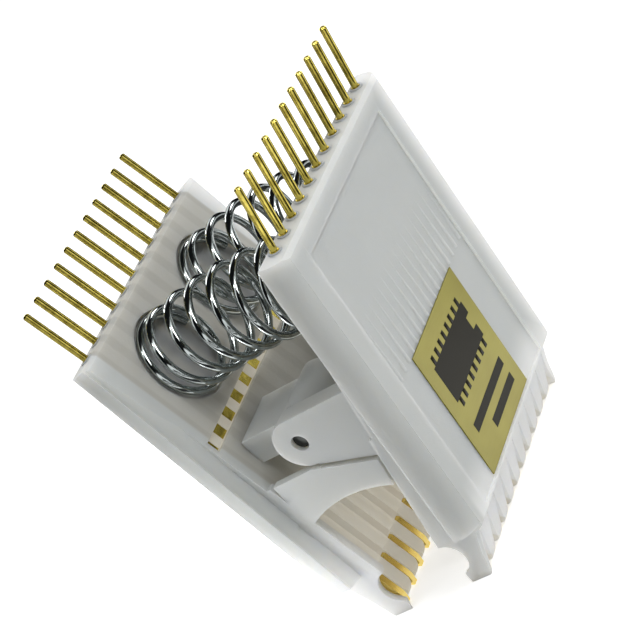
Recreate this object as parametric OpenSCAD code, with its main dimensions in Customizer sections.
// Spring clip that grips a 22-pin chip and brings its pins up to test posts.
// Two like mouldings, turned half round to each other, swing on one pin.
// The clip stands on its nose: X runs along the rows, Z is up, and the base is z = 0.

/* [Contacts] */
// Contacts in each row
contact_count = 11; // [8:1:14]
// Distance from one contact to the next
pitch = 2.54; // [2.3:0.01:2.8]
// Width of a contact's strip inside the jaw
strip_w = 1.2; // [0.9:0.05:1.5]
// Thickness of a contact's strip
strip_t = 0.45; // [0.3:0.05:0.6]
// Depth of the strip below the jaw's inner face, above its bend
strip_depth = 0.95; // [0.9:0.05:1.1]
// Depth of the strip below the jaw's inner face, below its bend
nose_depth = 1.5; // [1.4:0.05:1.6]
// Height of the bend in the strip
bend_s = 15; // [14:0.5:20]
// Clearance round a strip in its channel
strip_gap = 0.06; // [0.03:0.01:0.12]
// Diameter of a test post
post_d = 0.7; // [0.5:0.05:0.9]
// Size across the corners of the eight-sided collar at the root of a post
collar_d = 0.92; // [0.8:0.02:1]
// Height of the collar above the jaw
collar_h = 0.15; // [0.1:0.05:0.4]
// Length of a test post above the jaw
post_len = 6.8; // [4:0.1:9]
// Lean of the posts away from upright, in degrees
post_lean = 13.9; // [10:0.1:18]
// Thickness of a knife blade at the nose
blade_w = 0.7; // [0.4:0.05:0.8]
// Depth of a knife blade's edge below the jaw's inner face
blade_front = 1.2; // [1.1:0.05:1.3]
// Depth of a knife blade from front to back
blade_depth = 1.1; // [0.8:0.05:1.4]

/* [Jaws] */
// Height of a jaw above the base
jaw_h = 37.3; // [34:0.1:42]
// Distance of the inner face from the middle, at the base
nose_half_gap = 2.8; // [2.4:0.1:3.4]
// Lean of the inner face, in degrees
inner_lean = 12.2; // [10.5:0.1:13]
// Extra lean that thickens the jaw towards the nose, in degrees
taper = 3.8; // [3:0.1:4.4]
// Thickness of the jaw at its top
top_t = 2.9; // [2.6:0.1:3.6]
// Width of the jaw past the outer contacts, on each side
side_margin = 2.5; // [2.3:0.1:3.6]
// Radius of the long outer edges
edge_r = 1.8; // [0.8:0.1:2.2]
// Height of the lower edge of the outer face
bevel_s = 6.3; // [6:0.1:7]
// Height of the bevel under the outer face
bevel_h = 0.9; // [0.5:0.1:1.1]
// Depth of the comb's inner side below the inner face
comb_sink = 1.15; // [1:0.05:1.2]
// Height up to which the comb's inner side is sunk
sunk_s = 13.5; // [11:0.5:14]
// Depth of the comb's outer side at the bevel
comb_t = 3.9; // [3.6:0.1:4.2]
// Radius of the fingers' round ends
finger_r = 0.95; // [0.8:0.05:1.05]
// Width of a slot between two fingers
slot_w = 0.95; // [0.85:0.05:1.1]
// Height of the top of the slots
slot_s = 4.9; // [4.5:0.1:5.2]
// Depth of the grooves between the teeth outside
groove_depth = 1.4; // [0.8:0.1:1.5]
// Width of the notches between the fingertips
notch_w = 1.9; // [1.4:0.1:2.1]
// Height of the top of these notches
notch_s = 2.6; // [1.8:0.1:2.8]
// Height of the middle of the trough that bares the strips
window_s = 24.3; // [23:0.1:24.6]
// Height of the trough
window_h = 1.4; // [1:0.1:2]
// Depth of the grooves between the flutes above the comb
flute_depth = 0.5; // [0.2:0.05:0.55]
// Width of the grooves between the flutes
flute_gap = 1.3; // [0.8:0.1:1.4]

/* [Outer face] */
// Depth of the field that is sunk into the outer face
field_depth = 0.3; // [0.15:0.05:0.4]
// Width of the rim beside the field
rim_w = 2.2; // [2:0.1:4]
// Height of the ribs above the label
rib_h = 0.15; // [0.05:0.05:0.2]
// Length over which a rib fades into the field
rib_len = 7; // [3:0.5:12]
// Number of ribs in the field
rib_count = 17; // [9:1:17]
// Width of the label
label_w = 13.6; // [10:0.1:16]
// Height of the label
label_h = 14.2; // [12:0.1:16]
// Offset of the label from the middle of the face
label_x = 0.6; // [-1:0.1:1]
// Thickness of the label
label_t = 0.12; // [0.08:0.01:0.2]
// Height of the label's lower edge above the edge of the face
label_rise = 0.3; // [0.2:0.1:0.8]

/* [Ends] */
// Distance from the middle of an outer contact to the outside of the end wall
end_wall = 1.15; // [1:0.05:1.4]
// Thickness of the end walls
cheek_t = 0.9; // [0.7:0.05:1.1]
// Height of the end walls beside the ears
cheek_h = 17.6; // [17:0.1:18.5]
// Depth at which the plate's side stands out past the end walls
side_step = 1.3; // [0.8:0.1:1.6]
// Height of the chip space under the arch
arch_h = 13.6; // [12.5:0.1:14]
// Rise of the arch over its springing
arch_rise = 1.2; // [0.6:0.1:1.8]
// Depth of the end walls' edge in front of the inner face
cheek_front = 0.4; // [0.2:0.05:0.8]
// Radius of the hollow above the foot
scallop_r = 1.85; // [1.2:0.05:2]
// Height of the middle of the hollow above the foot
scallop_z = 2.9; // [2.4:0.1:3.2]
// Distance of the foot's flat end behind the line of the inner face
foot_in = 0.9; // [0.7:0.1:1.1]
// Length of the foot's flat end
foot_len = 2.2; // [1.8:0.1:2.4]

/* [Hinge] */
// Height of the hinge pin above the base
hinge_z = 20.3; // [19.5:0.1:21.5]
// Diameter of the hinge pin
pin_d = 1.6; // [1.2:0.1:2]
// Radial clearance of the pin in its holes
pin_gap = 0.05; // [0.02:0.01:0.1]
// How far the pin's ends lie inside the ears
pin_sunk = 0.5; // [0.3:0.1:1]
// Radius of an ear
ear_r = 2.6; // [2.3:0.1:2.9]
// Thickness of an ear
ear_t = 2.2; // [1.6:0.1:2.6]
// How far an ear's face lies inside the end wall's
ear_sunk = 0.3; // [0.1:0.1:0.6]
// Slope of an ear's lower edge, in degrees
ear_slope = 17; // [12:0.5:22]
// Radius of a knuckle
knuckle_r = 2.5; // [2:0.1:2.7]
// Depth of the underside of a knuckle's web below the pin's middle
web_low = 1.3; // [1:0.1:2]
// Length of a knuckle
knuckle_len = 6.6; // [4:0.1:8]
// Clearance between parts that move past each other
move_gap = 0.3; // [0.2:0.05:0.5]

/* [Springs] */
// Outer diameter of a spring
spring_od = 9.3; // [8:0.1:10]
// Diameter of the spring wire
wire_d = 0.8; // [0.6:0.05:1]
// Turns of a spring
spring_turns = 8.5; // [6.5:0.5:10.5]
// Pitch of the closed turn at each end, in wire diameters
end_pitch = 1.08; // [1.05:0.01:1.2]
// Distance of a spring's middle from the clip's middle
spring_x = 6; // [5.4:0.1:7.5]
// Height of the springs above the base
spring_z = 30.4; // [29.5:0.1:31]
// Depth of the pockets that hold the springs
pocket_depth = 0.7; // [0.4:0.05:0.75]
// Clearance round a spring in its pocket
pocket_gap = 0.25; // [0.1:0.05:0.4]
// Clearance between a spring's end and the floor of its pocket
seat_gap = 0.05; // [0.02:0.01:0.1]

/* [Hidden] */
NUMBERS = ["01", "02", "03", "04", "05", "06", "07", "08", "09", "10", "11", "12", "13", "14"];
function row_names(side) = [for (i = [0 : contact_count - 1]) str("contact_", side, "_", NUMBERS[i])];

nylon = [0.86, 0.87, 0.84];
gold = [0.78, 0.60, 0.20];
steel = [0.72, 0.73, 0.75];
foil = [0.80, 0.72, 0.36];

big = 100;
row_len = (contact_count - 1) * pitch;
jaw_w = row_len + 2 * side_margin;
jaw_s = jaw_h / cos(inner_lean);
cheek_out = row_len / 2 + end_wall;
cheek_in = cheek_out - cheek_t;
ear_out = cheek_out - ear_sunk;
comb_s = bevel_s - bevel_h;
contact_s0 = 0.5;
tip_s = 0.65;
post_root = 1;
label_gap = 0.15;
post_tip = 0.12;
collar_sides = 8;
top_edge = 0.4;
strip_mid = strip_depth + strip_t / 2;
finger_mid = finger_r + tip_s;
wire_start = -100;
ring_steps = 20;
wire_sides = 8;
bore_fn = 48;

// Distance of the inner face from the middle at height z
function inner_y(z) = nose_half_gap + z * tan(inner_lean);
// Depth of the outer face below the inner one, s up along the jaw
function outer_d(s) = top_t + (jaw_s - s) * tan(taper);
// Place of contact number i along the row
function contact_x(i) = (i - (contact_count - 1) / 2) * pitch;
// Where the springs' rings would meet if they went on: the foot of the wedge between the jaws
wedge_z = -nose_half_gap / tan(inner_lean);

// A profile drawn in Y and Z, carried along X
module along_x(x0, x1) {
    translate([x0, 0, 0]) rotate([90, 0, 90]) linear_extrude(x1 - x0) children();
}

// From the jaw's own frame, y its depth from the inner face and z up along it, to the clip's
module on_jaw() {
    translate([0, nose_half_gap, 0]) rotate([-inner_lean, 0, 0]) children();
}

// From the plane of the outer face, y out of it and z up along it from the bevel
module on_outer_face() {
    on_jaw() translate([0, outer_d(bevel_s), bevel_s]) rotate([taper, 0, 0]) children();
}

// Side view of a jaw's plate with its comb
module plate_profile() {
    polygon([
        [comb_sink, finger_mid], [comb_sink, sunk_s], [0, sunk_s + comb_sink],
        [0, jaw_s - top_edge], [top_edge, jaw_s], [top_t - top_edge, jaw_s], [top_t, jaw_s - top_edge],
        [outer_d(bevel_s), bevel_s], [comb_t, comb_s], [comb_sink + 2 * finger_r, finger_mid]]);
    translate([comb_sink + finger_r, finger_mid]) circle(finger_r, $fn = 32);
}

// Plan of the plate, with the two long outer edges rounded
module plate_plan() {
    wide = jaw_w / 2;
    deep = outer_d(bevel_s);
    translate([-cheek_out, -big]) square([2 * cheek_out, big + deep]);
    translate([-wide, side_step + (deep - top_t) / 2])
        square([jaw_w, (deep + top_t) / 2 - edge_r - side_step]);
    translate([-wide + edge_r, side_step + (deep - top_t) / 2])
        square([jaw_w - 2 * edge_r, (deep + top_t) / 2 - side_step]);
    for (side = [-1, 1])
        translate([side * (wide - edge_r), deep - edge_r]) circle(edge_r, $fn = 40);
}

// The plate before anything is cut from it
module plate_block() {
    on_jaw() intersection() {
        along_x(-jaw_w / 2, jaw_w / 2) plate_profile();
        translate([0, outer_d(bevel_s), bevel_s]) rotate([taper, 0, 0])
            translate([0, -outer_d(bevel_s), -big]) linear_extrude(2 * big) plate_plan();
    }
}

// Side view of a strip with its bend, between heights s0 and s1; grow is the clearance round it
module strip_profile(s0, s1, grow) {
    front = [[nose_depth, s0], [nose_depth, bend_s], [strip_depth, bend_s + 1], [strip_depth, s1]];
    polygon(concat(
        [for (p = front) p - [grow, 0]],
        [for (i = [3 : -1 : 0]) front[i] + [strip_t + grow, 0]]));
}

// From the jaw's own frame to the foot of a contact's post
module post_place() {
    translate([0, strip_mid, jaw_s - post_root]) rotate([inner_lean - post_lean, 0, 0]) children();
}

// What is cut away for one contact
module contact_cuts() {
    wide = strip_w + 2 * strip_gap;
    along_x(-wide / 2, wide / 2) strip_profile(slot_s, jaw_s + 1, strip_gap);
    translate([-slot_w / 2, -big, -big])
        cube([slot_w, big + blade_front + blade_depth + strip_gap, big + slot_s + strip_gap]);
    post_place() translate([0, 0, -strip_gap])
        cylinder(d = collar_d + 2 * strip_gap, h = 2 * post_root, $fn = 24);
}

// Groove between two flutes, above the comb on the inner side
module flute_groove() {
    low = bevel_s + 0.8;
    half = flute_gap / 2;
    translate([0, comb_sink, low]) linear_extrude(sunk_s - low)
        polygon([[0, flute_depth], [half, 0], [half, -big], [-half, -big], [-half, 0]]);
}

// Trough across the inner face that bares every strip for a moment
module strip_trough() {
    wide = row_len + strip_w;
    translate([-wide / 2, -1, window_s - window_h / 2])
        cube([wide, 1 + strip_depth - strip_gap / 2, window_h]);
}

// V-shaped groove between two teeth, outside on the nose: it deepens from the bevel to the tips
module tooth_groove() {
    tip_d = comb_sink + 2 * finger_r - groove_depth;
    slope = atan((comb_t - tip_d) / comb_s);
    spread = pitch * 0.42 / groove_depth;
    translate([0, comb_t, comb_s]) rotate([-slope, 0, 0]) translate([0, 0, -2 * comb_s])
        linear_extrude(2 * comb_s + bevel_h) polygon([[0, 0], [3 * spread, 3], [-3 * spread, 3]]);
}

// Notch between two fingertips, right through the comb
module tooth_notch() {
    half = notch_w / 2 * (notch_s + 1) / (notch_s - tip_s);
    translate([0, big, 0]) rotate([90, 0, 0]) linear_extrude(2 * big)
        polygon([[-half, -1], [half, -1], [0, notch_s]]);
}

// Sunk field on the outer face with its ribs
module outer_field() {
    field_w = jaw_w - 2 * edge_r - 2 * rim_w;
    face_len = jaw_s / cos(taper) - bevel_s;
    rib_pitch = field_w / rib_count;
    difference() {
        translate([-field_w / 2, -field_depth, label_rise]) cube([field_w, 1, face_len - label_rise - rim_w]);
        for (i = [0 : rib_count - 1])
            translate([-field_w / 2 + (i + 0.5) * rib_pitch, -field_depth, label_rise + label_h + 2 * label_gap])
                rotate([atan(rib_h * sqrt(2) / rib_len), 0, 0]) rotate([0, 0, 45])
                    translate([-rib_h, -rib_h, 0]) cube([2 * rib_h, 2 * rib_h, face_len]);
    }
}

// Round pocket that seats a spring's last ring
module spring_pocket(x) {
    translate([x, 0, 0]) on_jaw()
        translate([0, -1, spring_z / cos(inner_lean)])
            rotate([-90, 0, 0]) cylinder(d = spring_od + 2 * pocket_gap, h = 1 + pocket_depth, $fn = bore_fn);
}

// Own side of the arch, drawn in Y and Z
module arch_profile() {
    half = nose_half_gap - cheek_front + arch_h * tan(inner_lean);
    arch_r = (half * half + arch_rise * arch_rise) / (2 * arch_rise);
    intersection() {
        translate([0, arch_h - arch_r]) circle(arch_r, $fn = 120);
        translate([-big, -1]) square([2 * big, big]);
        polygon([
            [-(nose_half_gap - cheek_front), 0], [nose_half_gap - cheek_front, 0],
            [inner_y(big) - cheek_front, big], [-inner_y(big) + cheek_front, big]]);
    }
}

// Hollow above the foot, drawn in Y and Z
module scallop_profile() {
    foot_y = nose_half_gap + foot_in;
    translate([inner_y(scallop_z) - cheek_front / 2, scallop_z]) circle(scallop_r, $fn = 80);
    translate([foot_y - big, 0.25]) square([big, scallop_z]);
    translate([foot_y - big, -1]) square([big, 2]);
}

// Leg of an end wall, from the foot to the hinge, on its own side of the clip
module leg_profile() {
    foot_y = nose_half_gap + foot_in;
    polygon([
        [foot_y, 0], [foot_y + foot_len, 0], [foot_y + foot_len + 0.2, 0.3],
        [inner_y(comb_s) + comb_t - 0.1, comb_s],
        [inner_y(cheek_h) + side_step, cheek_h], [inner_y(cheek_h) - cheek_front, cheek_h],
        [inner_y(scallop_z) - cheek_front, scallop_z], [foot_y, 0.3]]);
}

// Slanted lower edge of an ear; grow moves it down
module under_ear_line(grow) {
    translate([0, hinge_z]) rotate(-ear_slope)
        translate([-big, -ear_r - grow - 2 * big]) square([2 * big, 2 * big]);
}

// Ear with its lug, on its own side of the clip; grow is the clearance round it
module ear_profile(grow) {
    translate([0, hinge_z]) circle(ear_r + grow, $fn = 64);
    difference() {
        translate([0, hinge_z - big]) square([inner_y(hinge_z) + 1.5, big + ear_r + grow]);
        under_ear_line(grow);
    }
}

// End wall that carries the ear
module ear_end(x0, x1) {
    along_x(cheek_in, cheek_out) leg_profile();
    along_x(x0, x1) ear_profile(0);
}

// End wall on the other end: it closes the side under the neighbour's ear
module bridge_end(x0, x1) {
    reach = -cheek_front - move_gap;
    along_x(x0, x1) difference() {
        union() {
            leg_profile();
            translate([-inner_y(arch_h), arch_h - arch_rise])
                square([2 * inner_y(arch_h), cheek_h - arch_h + arch_rise]);
        }
        arch_profile();
        mirror([1, 0]) ear_profile(move_gap);
        polygon([[-inner_y(0) - reach, 0], [-inner_y(big) - reach, big], [-big, big], [-big, 0]]);
    }
}

// Round knuckle on the pin, with the web that carries it
module knuckle(x0, x1) {
    along_x(x0, x1) {
        translate([0, hinge_z]) circle(knuckle_r, $fn = 48);
        translate([0, hinge_z - web_low]) square([inner_y(hinge_z), web_low + knuckle_r - 1]);
    }
}

// What is cut away at the two ends of the comb: the hollow above the foot and the plate's overhang
module nose_end_cuts(side) {
    low = side > 0 ? cheek_in : -big;
    along_x(low, low + big - (side > 0 ? 0 : cheek_in)) scallop_profile();
    translate([side > 0 ? cheek_out : -cheek_out - big, -big, -1]) cube([big, 2 * big, 1 + comb_s]);
}

// One jaw, drawn as the rear one: its ear is at the far end, its knuckle at the near end
module jaw() {
    knuckle_x0 = -(ear_out - ear_t - move_gap);
    difference() {
        union() {
            plate_block();
            ear_end(ear_out - ear_t, ear_out);
            bridge_end(-cheek_out, -cheek_in);
            knuckle(knuckle_x0, knuckle_x0 + knuckle_len);
        }
        for (side = [-1, 1]) nose_end_cuts(side);
        on_jaw() for (i = [0 : contact_count - 1]) translate([contact_x(i), 0, 0]) {
            contact_cuts();
            tooth_groove();
            tooth_notch();
        }
        on_jaw() strip_trough();
        on_jaw() for (i = [0 : contact_count - 2]) translate([contact_x(i + 0.5), 0, 0]) flute_groove();
        on_outer_face() outer_field();
        for (side = [-1, 1]) spring_pocket(side * spring_x);
        translate([-big, 0, hinge_z]) rotate([0, 90, 0])
            cylinder(d = pin_d + 2 * pin_gap, h = 2 * big, $fn = bore_fn);
    }
}

module front_jaw() color(nylon) rotate([0, 0, 180]) jaw();

module rear_jaw() color(nylon) jaw();

module hinge_pin() {
    reach = ear_out - pin_sunk;
    color(steel) translate([-reach, 0, hinge_z]) rotate([0, 90, 0])
        cylinder(d = pin_d, h = 2 * reach, $fn = bore_fn);
}

// One contact in the jaw's own frame: knife blade, strip and post with its collar
module contact() {
    strip_s0 = slot_s + strip_gap;
    blade_back = blade_front + blade_depth;
    straight = post_root + post_len - post_tip;
    along_x(-strip_w / 2, strip_w / 2) strip_profile(strip_s0, jaw_s, 0);
    along_x(-blade_w / 2, blade_w / 2) polygon([
        [nose_depth, strip_s0 + 0.1], [nose_depth, slot_s], [blade_front, slot_s - 0.3],
        [blade_front, contact_s0 + 1], [blade_front + 0.35, contact_s0],
        [blade_back, contact_s0 + 0.5], [blade_back, slot_s - 0.5],
        [nose_depth + strip_t, strip_s0 + 0.1]]);
    post_place() {
        rotate(180 / collar_sides) cylinder(d = collar_d, h = post_root + collar_h, $fn = collar_sides);
        cylinder(d = post_d, h = straight, $fn = 20);
        translate([0, 0, straight]) cylinder(d1 = post_d, d2 = post_d - 2 * post_tip, h = post_tip, $fn = 20);
    }
}

module front_contact(i) color(gold) rotate([0, 0, 180]) on_jaw() translate([-contact_x(i), 0, 0]) contact();

module rear_contact(i) color(gold) on_jaw() translate([contact_x(i), 0, 0]) contact();

// A ring of points round the wire at turn angle b from its start, on an arc whose rings all face the two jaws
function wire_ring(b) =
    let (
        a = b + wire_start,
        coil_r = (spring_od - wire_d) / 2,
        arc_r = (spring_z - wedge_z) / cos(inner_lean),
        seat = asin((wire_d / 2 + seat_gap - pocket_depth) / arc_r),
        end_step = atan(end_pitch * wire_d / (arc_r - coil_r)),
        open_step = (2 * (inner_lean - seat) - 2 * end_step) / (spring_turns - 2),
        turn = b / 360,
        from_end = min(turn, spring_turns - turn),
        rise = from_end < 1 ? from_end * end_step : end_step + (from_end - 1) * open_step,
        lean = (turn < spring_turns / 2 ? -1 : 1) * (inner_lean - seat - rise))
    [for (k = [0 : wire_sides - 1])
        let (
            w = 360 * k / wire_sides,
            radial = coil_r + wire_d / 2 * cos(w),
            side = wire_d / 2 * sin(w),
            up = arc_r + radial * cos(a))
        [radial * sin(a), up * sin(lean) + side * cos(lean), wedge_z + up * cos(lean) - side * sin(lean)]];

// Compression spring: one wire swept along its turns
module spring() {
    rings = ceil(spring_turns * ring_steps);
    points = [for (r = [0 : rings]) each wire_ring(360 * spring_turns * r / rings)];
    sides = [
        for (r = [0 : rings - 1], k = [0 : wire_sides - 1])
            let (a = r * wire_sides + k, b = r * wire_sides + (k + 1) % wire_sides)
            [a, b, b + wire_sides, a + wire_sides]];
    ends = [[for (k = [wire_sides - 1 : -1 : 0]) k], [for (k = [0 : wire_sides - 1]) rings * wire_sides + k]];
    polyhedron(points = points, faces = concat(sides, ends), convexity = 10);
}

module near_spring() color(steel) translate([-spring_x, 0, 0]) spring();

module far_spring() color(steel) translate([spring_x, 0, 0]) spring();

// Foil label on the front jaw, in its field above the bevel
module label() {
    color(foil) rotate([0, 0, 180]) on_outer_face()
        translate([label_x - label_w / 2, -field_depth, label_rise + label_gap]) cube([label_w, label_t, label_h]);
}

front_jaw();
rear_jaw();
hinge_pin();
near_spring();
far_spring();
label();
for (i = [0 : contact_count - 1]) {
    front_contact(i);
    rear_contact(i);
}
